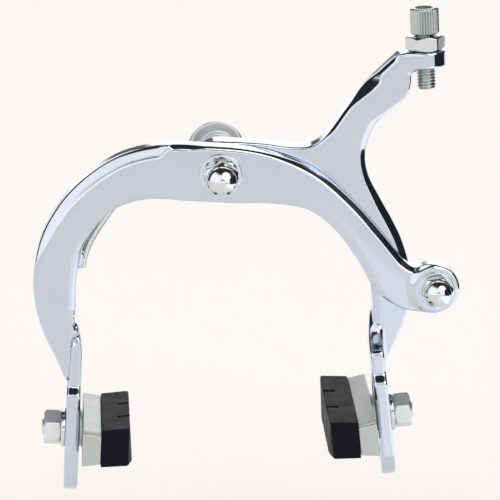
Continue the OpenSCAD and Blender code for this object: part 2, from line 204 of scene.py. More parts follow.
def fillet(pts, closed=False, seg=4):
    """A profile of (r, z, radius): each corner rounded by its radius."""
    n, out = len(pts), []
    for i, p in enumerate(pts):
        c = np.array(p[:2], float)
        rad = p[2] if len(p) > 2 else 0.0
        if (not closed and i in (0, n - 1)) or rad <= 0:
            out.append(c)
            continue
        a, b = np.array(pts[i - 1][:2], float), np.array(pts[(i + 1) % n][:2], float)
        u, w = a - c, b - c
        lu, lw = np.linalg.norm(u), np.linalg.norm(w)
        u, w = u / lu, w / lw
        ang = math.acos(max(-1, min(1, float(u @ w))))
        if ang > math.pi - 0.05:
            out.append(c)
            continue
        t = min(rad / math.tan(ang / 2), 0.48 * lu, 0.48 * lw)
        r = t * math.tan(ang / 2)
        mid = (u + w) / np.linalg.norm(u + w)
        centre = c + mid * (r / math.sin(ang / 2))
        s, e = c + u * t - centre, c + w * t - centre
        total = math.acos(max(-1, min(1, float(s @ e) / (r * r))))
        for k in range(seg + 1):
            f = k / seg
            q = (math.sin((1 - f) * total) * s + math.sin(f * total) * e) / math.sin(total)
            out.append(centre + q)
    return [(float(q[0]), float(q[1])) for q in out]


def finer(prof, step, closed=False):
    """Splits the profile's long stretches."""
    out = []
    m = len(prof)
    for i in range(m if closed else m - 1):
        a, b = np.array(prof[i]), np.array(prof[(i + 1) % m])
        k = max(1, int(math.ceil(np.linalg.norm(b - a) / step)))
        out += [tuple(a + (b - a) * j / k) for j in range(k)]
    if not closed:
        out.append(prof[-1])
    return out


def lathe(prof, n=72, shape=None, closed=False, phase=0.0):
    """Turns a profile about Z. shape(theta, r, z) may change each ring's radius."""
    th = phase + np.arange(n) * 2 * np.pi / n
    verts, rings = [], []
    for r, z in prof:
        if r < 1e-6:
            rings.append([len(verts)])
            verts.append((0, 0, z))
            continue
        rr = np.full(n, float(r)) if shape is None else np.asarray(shape(th, float(r), float(z)))
        rings.append(list(range(len(verts), len(verts) + n)))
        verts += list(zip(rr * np.cos(th), rr * np.sin(th), np.full(n, float(z))))
    quads, tris = [], []
    m = len(rings)
    for i in range(m if closed else m - 1):
        a, b = rings[i], rings[(i + 1) % m]
        for k in range(n):
            k2 = (k + 1) % n
            if len(a) == 1 and len(b) == 1:
                continue
            if len(a) == 1:
                tris.append((a[0], b[k], b[k2]))
            elif len(b) == 1:
                tris.append((a[k], b[0], a[k2]))
            else:
                quads.append((a[k], b[k], b[k2], a[k2]))
    if not closed:
        for end, ring in ((0, rings[0]), (1, rings[-1])):
            if len(ring) > 1:
                z = verts[ring[0]][2]
                c = len(verts)
                verts.append((0, 0, z))
                for k in range(n):
                    k2 = (k + 1) % n
                    tris.append((c, ring[k], ring[k2]) if end == 0 else (c, ring[k2], ring[k]))
    return np.array(verts, float), [np.array(quads, np.int64).reshape(-1, 4), np.array(tris, np.int64).reshape(-1, 3)]


def turn_to(verts, kind, at, roll=0.0):
    """Turns local +Z to the named axis and moves it to at."""
    v = np.asarray(verts, float)
    c, s = math.cos(math.radians(roll)), math.sin(math.radians(roll))
    v = np.stack([v[:, 0] * c - v[:, 1] * s, v[:, 0] * s + v[:, 1] * c, v[:, 2]], 1)
    if kind == "+y":
        v = np.stack([v[:, 0], v[:, 2], -v[:, 1]], 1)
    elif kind == "-y":
        v = np.stack([v[:, 0], -v[:, 2], v[:, 1]], 1)
    elif kind == "+x":
        v = np.stack([v[:, 2], v[:, 1], -v[:, 0]], 1)
    return v + np.array(at, float)


def left_place(v):
    c, s = math.cos(LEAN), math.sin(LEAN)
    v = np.asarray(v, float)
    return np.stack([v[:, 0] * c + v[:, 2] * s + STUD_X, v[:, 1] + STUD_Y, -v[:, 0] * s + v[:, 2] * c + STUD_Z], 1)


def right_clamp_place(v):
    w = left_place(np.asarray(v, float) + np.array([0, 0, LIFT]))
    w[:, 0] *= -1
    c, s = math.cos(SWING), math.sin(SWING)
    return np.stack([w[:, 0] * c + w[:, 2] * s, w[:, 1], -w[:, 0] * s + w[:, 2] * c], 1)


def right_place(v):
    v = np.asarray(v, float)
    c, s = math.cos(ROCK), math.sin(ROCK)
    return right_clamp_place(np.stack([v[:, 0], v[:, 1] * c - v[:, 2] * s, v[:, 1] * s + v[:, 2] * c], 1))


def hex_r(th, af):
    a = np.mod(th, np.pi / 3) - np.pi / 6
    return af / 2 / np.cos(a)


def soft_min(a, b, k):
    h = np.maximum(k - np.abs(a - b), 0) / k
    return np.minimum(a, b) - h * h * k / 4


def hex_shape(af, keep):
    def shape(th, r, z):
        if r < keep:
            return np.full(len(th), r)
        return soft_min(np.full(len(th), r), hex_r(th, af), 0.10)
    return shape


def hex_nut(af, h, bore):
    c = af / 2 / math.cos(math.pi / 6)
    p = fillet([(bore + 0.45, 0), (af / 2 * 0.955, 0, 0.15), (c - 0.08, 0.72, 0.2), (c - 0.08, h - 0.72, 0.2),
                (af / 2 * 0.955, h, 0.15), (bore + 0.45, h, 0.06), (bore, h - 0.45, 0.06), (bore, 0.45, 0.06)], closed=True)
    return lathe(finer(p, 0.22, closed=True), n=144, shape=hex_shape(af, af / 2 * 0.9), closed=True)


def cap_nut(af, h_hex, h_all, bore, depth):
    c = af / 2 / math.cos(math.pi / 6)
    neck = af / 2 * 0.94
    rs, zs = af * 0.53, h_all - af * 0.53
    z_meet = zs + math.sqrt(rs * rs - neck * neck)
    p = fillet([(0, depth + 1.2), (bore, depth, 0.1), (bore, 0.45, 0.06), (bore + 0.45, 0, 0.06), (af / 2 * 0.955, 0, 0.15),
                (c - 0.08, 0.72, 0.2), (c - 0.08, h_hex - 0.72, 0.2), (neck + 0.12, h_hex, 0.12), (neck, h_hex + 0.12, 0.1),
                (neck, z_meet - 0.35)])
    p = finer(p, 0.22)
    a0 = math.asin(neck / rs)
    p += [(rs * math.sin(a), zs + rs * math.cos(a)) for a in np.linspace(a0, 0, 26)[1:]]
    p[-1] = (0.0, h_all)
    return lathe(p, n=144, shape=hex_shape(af, af / 2 * 0.945))


def washer(r_out, r_in, h, edge=0.18):
    p = fillet([(r_in, 0, 0.05), (r_out, 0, edge), (r_out, h, edge), (r_in, h, 0.1)], closed=True, seg=5)
    return lathe(finer(p, 1.2, closed=True), n=96, closed=True)


def thread_wave(th, z, pitch, depth):
    f = np.mod(z / pitch - th / (2 * np.pi), 1.0)
    t = np.abs(2 * f - 1)
    g = np.clip((t - 0.12) / 0.70, 0, 1)
    g = g * g * (3 - 2 * g) * 0.45 + g * 0.55
    return depth * (1 - g)


def threaded_profile(z0, z1, step):
    k = max(2, int(math.ceil((z1 - z0) / step)))
    return [z0 + (z1 - z0) * i / k for i in range(k + 1)]


def rod(r, z0, z1, t0, t1, pitch=1.0, depth=0.52, n=56, lead0=True, lead1=True):
    """A bolt shank with a real screw thread between t0 and t1."""
    zs = sorted(set([z0, z0 + 0.02] + threaded_profile(z0 + 0.02, z1 - 0.02, pitch / (9)) + [z1]))
    prof = [(r, z) for z in zs]

    def shape(th, rr, z):
        w = np.clip((z - t0) / 0.8, 0, 1) * np.clip((t1 - z) / 0.8, 0, 1) if not (lead0 or lead1) else 1.0
        if not lead0:
            w = w * np.clip((z - t0) / 0.8, 0, 1)
        if z < t0 or z > t1:
            w = 0.0
        q = rr - w * thread_wave(th, z, pitch, depth)
        if lead1:
            q = np.minimum(q, r - 0.75 + (z1 - z) * 1.0)
        if lead0:
            q = np.minimum(q, r - 0.75 + (z - z0) * 1.0)
        return q
    return lathe(prof, n=n, shape=shape)


# ---------------------------------------------------------------- implicit forms
def catmull(pts, n):
    p = np.array(pts, float)
    q = np.vstack([p[:1], p, p[-1:]])
    out = []
    for i in range(len(p) - 1):
        a, b, c, d = q[i], q[i + 1], q[i + 2], q[i + 3]
        for k in range(n):
            t = k / n
            out.append(0.5 * (2 * b + (c - a) * t + (2 * a - 5 * b + 4 * c - d) * t * t + (3 * b - a - 3 * c + d) * t ** 3))
    out.append(p[-1])
    return np.array(out)


def dist_line(path, X, Z, closed=False):
    """Unsigned distance to a polyline and, if it is closed, which side of it."""
    P = np.stack([X.ravel(), Z.ravel()], 1)
    A = path
    B = np.roll(path, -1, axis=0) if closed else path[1:]
    A = A if closed else A[:-1]
    D = B - A
    L = np.maximum((D * D).sum(1), 1e-12)
    best = np.empty(len(P))
    inside = np.zeros(len(P), bool)
    for s in range(0, len(P), 8192):
        p = P[s:s + 8192]
        w0 = p[:, None, 0] - A[None, :, 0]
        w1 = p[:, None, 1] - A[None, :, 1]
        t = np.clip((w0 * D[:, 0] + w1 * D[:, 1]) / L, 0, 1)
        best[s:s + 8192] = np.sqrt(((w0 - t * D[:, 0]) ** 2 + (w1 - t * D[:, 1]) ** 2).min(1))
        if closed:
            up = (A[None, :, 1] > p[:, None, 1]) != (B[None, :, 1] > p[:, None, 1])
            dz = np.where(np.abs(D[:, 1]) < 1e-12, 1e-12, D[:, 1])
            xs = A[None, :, 0] + w1 * (D[:, 0] / dz)
            inside[s:s + 8192] = (np.sum(up & (p[:, None, 0] < xs), axis=1) % 2) == 1
    d = best.reshape(X.shape)
    if closed:
        d = np.where(inside.reshape(X.shape), -d, d)
    return d


def edge_dist(line, d2, X, Z):
    """Distance in from one edge line, negative just outside it."""
    d = dist_line(line, X, Z)
    return blur2(np.where((d < 3) & (d2 > 0), -d, d), 1.1)


def face_bevel(F, y, y0, dist, w, ratio, k):
    """Plane bevel w wide along an edge of the front face, ratio * w deep."""
    w = np.maximum(w, 0.02)
    dep = ratio * w
    cut = ((w - dist)[:, None, :] * dep[:, None, :] - (y[None, :, None] - y0) * w[:, None, :]) / np.hypot(w, dep)[:, None, :]
    return smax(F, np.where((w > 0.1)[:, None, :], cut, -5.0), k)


def blur2(a, s):
    if s <= 0:
        return a
    k = int(math.ceil(3 * s))
    w = np.exp(-0.5 * (np.arange(-k, k + 1) / s) ** 2)
    w /= w.sum()
    for ax in (0, 1):
        p = np.pad(a, [(k, k) if i == ax else (0, 0) for i in range(2)], mode="edge")
        a = sum(w[j] * np.take(p, range(j, j + a.shape[ax]), axis=ax) for j in range(2 * k + 1))
    return a


def smin(a, b, k):
    h = np.maximum(k - np.abs(a - b), 0) / k
    return np.minimum(a, b) - h * h * (k * 0.25)


def smax(a, b, k):
    return -smin(-a, -b, k)


def rounded(q1, q2, r):
    """Two half-space distances met with an outside radius r."""
    a, b = q1 + r, q2 + r
    return np.minimum(np.maximum(a, b), 0) + np.hypot(np.maximum(a, 0), np.maximum(b, 0)) - r


def step(a, b, x):
    t = np.clip((x - a) / (b - a), 0, 1)
    return t * t * (3 - 2 * t)


def surface(F, lo, h, project=2):
    """Surface nets on the grid F (negative inside): vertices, quads and normals."""
    F = F.astype(np.float32)
    inside = F < 0
    s = inside[:-1, :-1, :-1].astype(np.int8)
    tot = np.zeros_like(s)
    for dx in (0, 1):
        for dy in (0, 1):
            for dz in (0, 1):
                tot += inside[dx:F.shape[0] - 1 + dx, dy:F.shape[1] - 1 + dy, dz:F.shape[2] - 1 + dz]
    mask = (tot > 0) & (tot < 8)
    I, J, K = np.nonzero(mask)
    index = np.full(mask.shape, -1, np.int64)
    index[I, J, K] = np.arange(len(I))
    corner = {}
    for dx in (0, 1):
        for dy in (0, 1):
            for dz in (0, 1):
                corner[dx, dy, dz] = F[I + dx, J + dy, K + dz].astype(float)
    acc, cnt = np.zeros((len(I), 3)), np.zeros(len(I))
    for ax in range(3):
        for u in (0, 1):
            for w in (0, 1):
                a, b = [0, 0, 0], [0, 0, 0]
                o = [i for i in range(3) if i != ax]
                a[o[0]] = b[o[0]] = u
                a[o[1]] = b[o[1]] = w
                b[ax] = 1
                fa, fb = corner[tuple(a)], corner[tuple(b)]
                cross = (fa < 0) != (fb < 0)
                t = np.where(cross, fa / np.where(cross, fa - fb, 1), 0)
                p = np.zeros((len(I), 3))
                p[:, o[0]], p[:, o[1]], p[:, ax] = u, w, t
                acc[cross] += p[cross]
                cnt[cross] += 1
    V = np.stack([I, J, K], 1) + acc / cnt[:, None]
    quads = []
    for ax in range(3):
        sl0, sl1 = [slice(None)] * 3, [slice(None)] * 3
        sl0[ax], sl1[ax] = slice(0, -1), slice(1, None)
        a, b = inside[tuple(sl0)], inside[tuple(sl1)]
        E = np.argwhere(a != b)
        o = [i for i in range(3) if i != ax]
        ok = (E[:, o[0]] > 0) & (E[:, o[1]] > 0) & (E[:, o[0]] < F.shape[o[0]] - 1) & (E[:, o[1]] < F.shape[o[1]] - 1)
        E = E[ok]
        cells = []
        for du, dw in ((-1, -1), (0, -1), (0, 0), (-1, 0)):
            c = E.copy()
            c[:, o[0]] += du
            c[:, o[1]] += dw
            cells.append(index[c[:, 0], c[:, 1], c[:, 2]])
        q = np.stack(cells, 1)
        flip = a[E[:, 0], E[:, 1], E[:, 2]]
        if ax == 1:
            flip = ~flip
        q[~flip] = q[~flip][:, ::-1]
        quads.append(q)
    quads = np.concatenate(quads)
    G = np.gradient(F)

    def sample(A, v):
        v = np.clip(v, 0, np.array(F.shape) - 1.001)
        i = v.astype(int)
        f = v - i
        out = 0
        for dx in (0, 1):
            for dy in (0, 1):
                for dz in (0, 1):
                    w = (f[:, 0] if dx else 1 - f[:, 0]) * (f[:, 1] if dy else 1 - f[:, 1]) * (f[:, 2] if dz else 1 - f[:, 2])
                    out = out + w * A[i[:, 0] + dx, i[:, 1] + dy, i[:, 2] + dz]
        return out
    for _ in range(project):
        g = np.stack([sample(c, V) for c in G], 1)
        f = sample(F, V)
        d = -f / np.maximum((g * g).sum(1), 0.05 * h * h)
        V = V + np.clip(d[:, None] * g, -0.4, 0.4)
    g = np.stack([sample(c, V) for c in G], 1)
    n = g / np.maximum(np.linalg.norm(g, axis=1)[:, None], 1e-9)
    return V * h + np.array(lo, float), quads, n


def implicit(name, F, lo, h, mat, body=None, nodes=(), place=None):
    V, Q, N = surface(F, lo, h)
    used = np.zeros(len(V), bool)
    used[Q.ravel()] = True
    if not used.all():
        new = np.cumsum(used) - 1
        V, N, Q = V[used], N[used], new[Q]
    if place is not None:
        W = place(V)
        N = place(V + N * 0.01) - W
        N /= np.linalg.norm(N, axis=1)[:, None]
        V = W
    return build(name, V, [Q], mat, body, nodes, normals=N)


# ---------------------------------------------------------------- the two arms
def leg_table(y, z_lo, z_hi, h, y_top1, foot, front):
    """Side outline of a slotted leg as a distance table over (y, local z), blade to neck to arm."""
    zc, hd = -10.0 - foot, 8.0
    t = np.linspace(-math.pi, 0, 49)
    tip = np.stack([hd * np.cos(t), zc + hd * np.sin(t)], 1)
    c = STUD_Y
    right = catmull([[hd, 12], [7.2, 16], [5.8, 20], [5.8, 26], [y_top1 - 0.2 - c, 33]], 8)
    left = np.vstack([catmull(front, 8), [[-5.8, 14.9], [-hd, 12.6]]])
    path = np.vstack([tip, [[hd, 8]], right, left, [[-hd, 8]]])
    zl = np.arange(z_lo, z_hi + h, h)
    Yl, Zl = np.meshgrid(y - c, zl, indexing="ij")
    return blur2(dist_line(path, Yl, Zl, closed=True), 0.6), zl


def leg_field(x, y, z, h, right, y_top1, foot, front):
    X, Z = np.meshgrid(x, z, indexing="ij")
    if right:
        c, s = math.cos(-SWING), math.sin(-SWING)
        X, Z = X * c + Z * s, -X * s + Z * c
        X = -X
    X, Z = X - STUD_X, Z - STUD_Z
    c, s = math.cos(LEAN), math.sin(LEAN)
    xl, zl = X * c - Z * s, X * s + Z * c
    table, zt = leg_table(y, -30, 60, h, y_top1, foot, front)
    f = np.clip((zl - zt[0]) / h, 0, len(zt) - 1.001)
    i = f.astype(int)
    f = f - i
    side = table[:, i] * (1 - f)[None] + table[:, i + 1] * f[None]
    side = np.transpose(side, (1, 0, 2))
    face = np.abs(xl) - LEG_T / 2
    # the inner side of the top runs out into the arm
    run = (xl - LEG_T / 2) * math.cos(math.radians(17)) + (zl - (26 if right else 29)) * math.sin(math.radians(17))
    face = smax(face, run, 1.5)
    leg = rounded(side, face[:, None, :], 0.9)
    zc = np.clip(zl, -10, 8)
    slot = np.hypot((zl - zc)[:, None, :], (y - STUD_Y)[None, :, None]) - 3.25
    return leg, slot, xl, zl


def arm(name, lo, hi, h, parts):
    x, y, z = [np.arange(lo[i], hi[i] + h, h) for i in range(3)]
    F = parts(x, y, z, h)
    return F


def tube_y(x, y, z, cx, cz, r, y0, y1, edge):
    d = np.hypot(x[:, None] - cx, z[None, :] - cz) - r
    half = (y1 - y0) / 2
    return rounded(d[:, None, :], (np.abs(y - (y0 + y1) / 2) - half)[None, :, None], edge)


def front_arm(x, y, z, h):
    X, Z = np.meshgrid(x, z, indexing="ij")
    top, inn = catmull(C_TOP, 14), catmull(C_IN, 14)
    raw = dist_line(np.vstack([top, inn]), X, Z, closed=True)
    d2 = blur2(raw, 1.1)
    dt, di = edge_dist(top, raw, X, Z), edge_dist(inn, raw, X, Z)
    yc, half = (Y_FRONT0 + Y_FRONT1) / 2, 4.0
    # polished faces are very slightly full
    crown = 0.30 * np.exp(d2 / 2.2)
    q2 = np.abs(y - yc)[None, :, None] - (half - np.clip(crown, 0, 0.5))[:, None, :]
    rear = (y > yc)[None, :, None]
    F = rounded(d2[:, None, :], q2, np.where(rear, 0.8, 0.5))
    # wide bevel along the outside of the arch, starting short beside the pivot and running out at the shoulder
    w = 2.9 * step(-14.6, -19.4, X) * (1 - 0.3 * step(-14, -30, Z)) * (1 - step(-30, -52, Z))
    F = face_bevel(F, y, Y_FRONT0, dt, w, 0.50, 0.9)
    # narrow steep bevel from the top of the arch down to the cable ear
    w = (1.5 - 0.6 * step(-9, -4, X) + 0.8 * step(8, 32, X)) * step(-16.2, -14.6, X) * step(67, 61, X)
    F = face_bevel(F, y, Y_FRONT0, dt, w, 1.25, 0.25)
    # softer bevel on the inside of the arch
    F = face_bevel(F, y, Y_FRONT0, di, 1.6 * step(-12, -26, X) * step(-46, -40, Z), 0.6, 0.8)
    # ear for the cable anchor, boss at its back, spring lug
    F = smin(F, tube_y(x, y, z, CAB_X, EAR_Z, 7.4, -27.3, Y_FRONT1, 0.9), 2.2)
    F = smin(F, tube_y(x, y, z, CAB_X, EAR_Z, 5.2, -20, -16.8, 0.4), 0.6)
    F = smin(F, tube_y(x, y, z, -46.6, -25.4, 3.2, -23.2, -17.9, 0.4), 1.2)
    F = smin(F, tube_y(x, y, z, -47.4, -25.5, 2.4, -21, -11, 0.5), 0.8)
    front = [[Y_FRONT0 + 0.2 - STUD_Y, 37], [-6.3, 31.5], [-5.8, 27], [-5.7, 22], [-5.8, 18]]
    leg, slot, _, _ = leg_field(x, y, z, h, False, Y_FRONT1, 2.0, front)
    F = smin(F, leg, 0.7)
    F = smax(F, -slot, 0.5)
    # small hollow where the leg's neck leaves the plate
    for hx, hz, hr in ((-47.0, -46.2, 1.25), (-46.4, -49.6, 1.05), (-48.1, -51.6, 0.95)):
        ball = np.sqrt((x[:, None, None] - hx) ** 2 + ((y[None, :, None] + 25.9) * 0.8) ** 2 + ((z[None, None, :] - hz) * 0.75) ** 2) - hr
        F = smax(F, -ball, 0.5)
    F = smax(F, -tube_y(x, y, z, 0, 0, 4.2, -40, 0, 0.1), 0.4)
    F = smax(F, -tube_y(x, y, z, CAB_X, EAR_Z, 3.06, -40, 0, 0.1), 0.4)
    return F


def rear_arm(x, y, z, h):
    X, Z = np.meshgrid(x, z, indexing="ij")
    up, out, inn = catmull(Y_UPPER, 14), catmull(Y_OUTER, 14), catmull(Y_IN, 14)
    path = np.vstack([up, [[66, 33.5], [66, 30.6]], out, inn])
    raw = dist_line(path, X, Z, closed=True)
    d2 = blur2(raw, 1.1)
    do, du = edge_dist(out, raw, X, Z), edge_dist(up, raw, X, Z)
    yc, half = (Y_REAR0 + Y_REAR1) / 2, 4.0
    crown = 0.25 * np.exp(d2 / 2.2)
    q2 = np.abs(y - yc)[None, :, None] - (half - np.clip(crown, 0, 0.5))[:, None, :]
    F = rounded(d2[:, None, :], q2, np.where((y > yc)[None, :, None], 0.8, 0.5))
    # bevel down the outside, wider towards the shoulder
    w = (1.7 * step(17, 11, Z) + 0.6 * step(-4, -18, Z)) * step(-40, -33, Z) * step(38, 44, X)
    F = face_bevel(F, y, Y_REAR0, do, w, 1.0, 0.5)
    # bevel up the cable branch, wider towards the barrel's boss
    w = (0.45 * step(-6, 2, X) + 0.55 * step(7, 11, Z) + 1.7 * step(17, 23, Z) - 1.6 * step(24.5, 28, Z)) * step(33.4, 31.5, Z)
    F = face_bevel(F, y, Y_REAR0, du, w, 1.7, 0.25)
    F = smin(F, tube_y(x, y, z, 0, 0, 8.8, Y_REAR0, Y_REAR1, 0.5), 1.0)
    F = smin(F, tube_y(x, y, z, 48.3, -27.5, 2.4, -12.5, -3, 0.5), 0.8)
    # boss for the barrel, standing along Z
    dr = np.hypot(x[:, None] - CAB_X, y[None, :] - CAB_Y)
    boss = rounded((dr - 6.3)[:, :, None], (np.abs(z - 31.25) - 2.55)[None, None, :], 0.6)
    F = smin(F, boss, 2.6)
    front = [[Y_REAR0 + 0.2 - STUD_Y, 28.8], [0.2, 26.6], [-2.3, 24.2], [-4.8, 22.6], [-5.8, 21.2], [-5.8, 18]]
    leg, slot, _, _ = leg_field(x, y, z, h, True, Y_REAR1, 1.2, front)
    F = smin(F, leg, 1.4)
    F = smax(F, -slot, 0.5)
    F = smax(F, -tube_y(x, y, z, 0, 0, 4.2, -40, 0, 0.1), 0.4)
    hole = np.maximum((dr - 3.06)[:, :, None], (20 - z)[None, None, :])
    F = smax(F, -hole, 0.4)
    F = np.maximum(F, (z - 33.8)[None, None, :])
    return F


H = 0.42
lo = (-62.5, -29.0, -104.0)
x, y, z = np.arange(lo[0], 76, H), np.arange(lo[1], -9, H), np.arange(lo[2], 13, H)
implicit("front_arm_forging", front_arm(x, y, z, H), lo, H, "arm_alloy", "front_arm", ["front_arm"])
lo = (-11.0, -29.5, -104.5)
x, y, z = np.arange(lo[0], 75, H), np.arange(lo[1], -1, H), np.arange(lo[2], 36, H)
implicit("rear_arm_forging", rear_arm(x, y, z, H), lo, H, "arm_alloy", "rear_arm", ["rear_arm"])

# ---------------------------------------------------------------- pivot stack
v, f = rod(3.0, 0, 35.7 + 31.98, 41, 70, lead0=False, n=56)
build("pivot_bolt_thread", turn_to(v, "+y", (0, -35.7, 0)), f, "zinc_steel", "pivot_stack", ["pivot_bolt"])


def tooth_shape(th, r, z):
    if r < 5:
        return np.full(len(th), r)
    a = np.abs(np.mod(th * 18 / (2 * np.pi), 1.0) * 2 - 1)
    return np.minimum(r, 5.75 + 1.1 * np.clip(a * 1.15 - 0.05, 0, 1))


p = finer(fillet([(3.15, 0, 0.1), (6.9, 0, 0.15), (6.9, 1.4, 0.15), (3.15, 1.4, 0.1)], closed=True, seg=3), 0.9, closed=True)
v, f = lathe(p, n=216, shape=tooth_shape, closed=True)
build("toothed_seat_washer", turn_to(v, "+y", (0, -1.4, 0)), f, "zinc_steel", "pivot_stack", ["toothed_washer"])

h = 0.2
lo = (-7.0, -10.4, -8.0)
x, y, z = np.arange(lo[0], 7.1, h), np.arange(lo[1], 0, h), np.arange(lo[2], 10.2, h)
X, Z = np.meshgrid(x, z, indexing="ij")
d2 = smin(np.hypot(X, Z - 3) - 6, np.maximum(np.abs(X) - 6, np.maximum(-7 - Z, Z - 3)), 0.4)
F = rounded(d2[:, None, :], (np.abs(y + 5.4) - 4.0)[None, :, None], 0.5)
slot = np.maximum((np.abs(y + 5.4) - 1.42)[None, :, None], (3.85 - Z)[:, None, :])
F = smax(F, -slot, 0.35)
F = smax(F, -(np.hypot(X, Z) - 3.02)[:, None, :], 0.3)
implicit("spring_block_body", F, lo, h, "zinc_steel", "pivot_stack", ["spring_block"])

v, f = washer(7, 3.15, 0.56, 0.15)
build("rear_nylon_washer", turn_to(v, "+y", (0, -9.98, 0)), f, "nylon_natural", "pivot_stack", ["rear_thrust_washer"])
v, f = washer(7.6, 3.15, 0.64, 0.12)
build("bronze_arm_washer", turn_to(v, "+y", (0, -18.67, 0)), f, "bronze", "pivot_stack", ["arm_washer"])
v, f = washer(6.6, 3.15, 0.97, 0.3)
build("front_pivot_washer", turn_to(v, "+y", (0, -27.7, 0)), f, "bright_steel", "pivot_stack", ["front_washer"])
v, f = hex_nut(10, 3, 3.02)
build("pivot_jam_nut", turn_to(v, "+y", (0, -30.7, 0), 12), f, "bright_steel", "pivot_stack", ["pivot_lock_nut"])
v, f = cap_nut(10, 4.4, 9.6, 3.02, 5.3)
build("pivot_dome_nut", turn_to(v, "-y", (0, -30.7, 0), 24), f, "bright_steel", "pivot_stack", ["pivot_cap_nut"])

# saddle washer, hollowed to the round fork crown
h = 0.22
lo = (-10.2, 6.2, -10.2)
x, y, z = np.arange(lo[0], 10.3, h), np.arange(lo[1], 13.9, h), np.arange(lo[2], 10.3, h)
X, Z = np.meshgrid(x, z, indexing="ij")
F = rounded((np.hypot(X, Z) - 9.2)[:, None, :], (np.abs(y - 10.5) - 2.5)[None, :, None], 0.9)
scoop = (np.hypot(x[:, None], y[None, :] + 5.2) - 15)[:, :, None]
F = smax(F, -scoop, 0.4)
F = smax(F, -(np.hypot(X, Z) - 3.3)[:, None, :], 0.3)
implicit("saddle_washer_body", F, lo, h, "zinc_steel", "pivot_stack", ["saddle_washer"])

v, f = washer(6.6, 3.2, 1.0, 0.2)
build("mounting_flat_washer", turn_to(v, "+y", (0, 13, 0)), f, "zinc_steel", "pivot_stack", ["mounting_washer"])
c = 5 / math.cos(math.pi / 6)
p = fillet([(3.02, 0.45, 0.06), (3.47, 0, 0.06), (4.78, 0, 0.15), (c - 0.08, 0.72, 0.2), (c - 0.08, 3.9, 0.2), (4.62, 4.6, 0.1),
            (4.5, 4.75, 0.1), (4.5, 5.6, 0.35), (4.05, 6.0, 0.15), (3.5, 5.8, 0.08), (3.5, 5.62, 0.05), (3.88, 5.6, 0.05),
            (3.88, 4.4, 0.05), (3.02, 4.3, 0.05)], closed=True)
v, f = lathe(finer(p, 0.25, closed=True), n=144, shape=hex_shape(10, 4.62), closed=True)
build("mounting_lock_nut", turn_to(v, "+y", (0, 14, 0), 0), f, "zinc_steel", "pivot_stack", ["mounting_nut"])
v, f = washer(3.86, 3.03, 1.28, 0.12)
build("mounting_nut_nylon", turn_to(v, "+y", (0, 18.41, 0)), f, "nylon_blue", "pivot_stack", ["mounting_nut_insert"])

# ---------------------------------------------------------------- return spring
def tube(path, r, n=20):
    p = np.asarray(path, float)
    t = np.gradient(p, axis=0)
    t /= np.linalg.norm(t, axis=1)[:, None]
    u = np.cross(t, np.array([0.0, 1.0, 0.0]))
    u /= np.linalg.norm(u, axis=1)[:, None]
    w = np.cross(t, u)
    th = np.arange(n) * 2 * np.pi / n
    rings, verts = [], []

    def ring(c, i, rr):
        rings.append(len(verts) // 1)
        for a in th:
            verts.append(c + rr * (u[i] * math.cos(a) + w[i] * math.sin(a)))
    # rounded ends, drawn inside the wire's own length
    for a in (0.35, 0.7, 0.92):
        ring(p[0] + t[0] * 0.5 * (1 - math.sqrt(1 - (1 - a) ** 2)) * 0 + t[0] * (a - 1) * 0.0 + t[0] * (0.45 * a * a), 0, r * math.sqrt(a))
    for i in range(1, len(p) - 1):
        ring(p[i], i, r)
    m = len(p) - 1
    for a in (0.92, 0.7, 0.35):
        ring(p[m] - t[m] * (0.45 * a * a), m, r * math.sqrt(a))
    k = len(verts) // n
    quads = [(i * n + j, i * n + (j + 1) % n, (i + 1) * n + (j + 1) % n, (i + 1) * n + j) for i in range(k - 1) for j in range(n)]
    c0, c1 = len(verts), len(verts) + 1
    verts.append(p[0])
    verts.append(p[m])
    tris = [(c0, (j + 1) % n, j) for j in range(n)] + [(c1, (k - 1) * n + j, (k - 1) * n + (j + 1) % n) for j in range(n)]
    return np.array(verts), [np.array(quads), np.array(tris)]


full = catmull(S_LEFT + S_RIGHT, 8)
cut = 8 * len(S_LEFT)
v, f = tube(full[:cut + 1], 1.3)
o = build("return_spring_left", v, f, "spring_wire", None, ["return_spring"], weighted=False, sharp=60)
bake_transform(o)
v, f = tube(full[cut:], 1.3)
o = build("return_spring_right", v, f, "spring_wire", None, ["return_spring"], weighted=False, sharp=60)
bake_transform(o)

# ---------------------------------------------------------------- bushes
for nm, y0, body in (("front", Y_FRONT0, "front_arm"), ("rear", Y_REAR0, "rear_arm")):
    p = fillet([(3.05, 0, 0.1), (4.19, 0, 0.15), (4.19, 7.9, 0.15), (3.05, 7.9, 0.1)], closed=True)
    v, f = lathe(finer(p, 1.5, closed=True), n=64, closed=True)
    build(nm + "_pivot_bush", turn_to(v, "+y", (0, y0 + 0.05, 0)), f, "bronze", body, [nm + "_arm_bush"])

# ---------------------------------------------------------------- barrel adjuster
KN = 30


def barrel_shape(th, r, z):
    rr = np.full(len(th), r)
    if r > 2.2 and z < 38.6:
        rr = rr - thread_wave(th, z, 1.0, 0.52)
        return np.minimum(rr, 2.35 + max(0.0, z - 21.6))
    if r > 4.05 and 39.2 < z < 47.1:
        a = np.abs(np.mod(th * KN / (2 * np.pi), 1.0) * 2 - 1)
        ridge = 4.13 + 0.37 * np.clip(a * 1.3 - 0.1, 0, 1) ** 0.8
        rr = np.minimum(rr, ridge)
    return rr


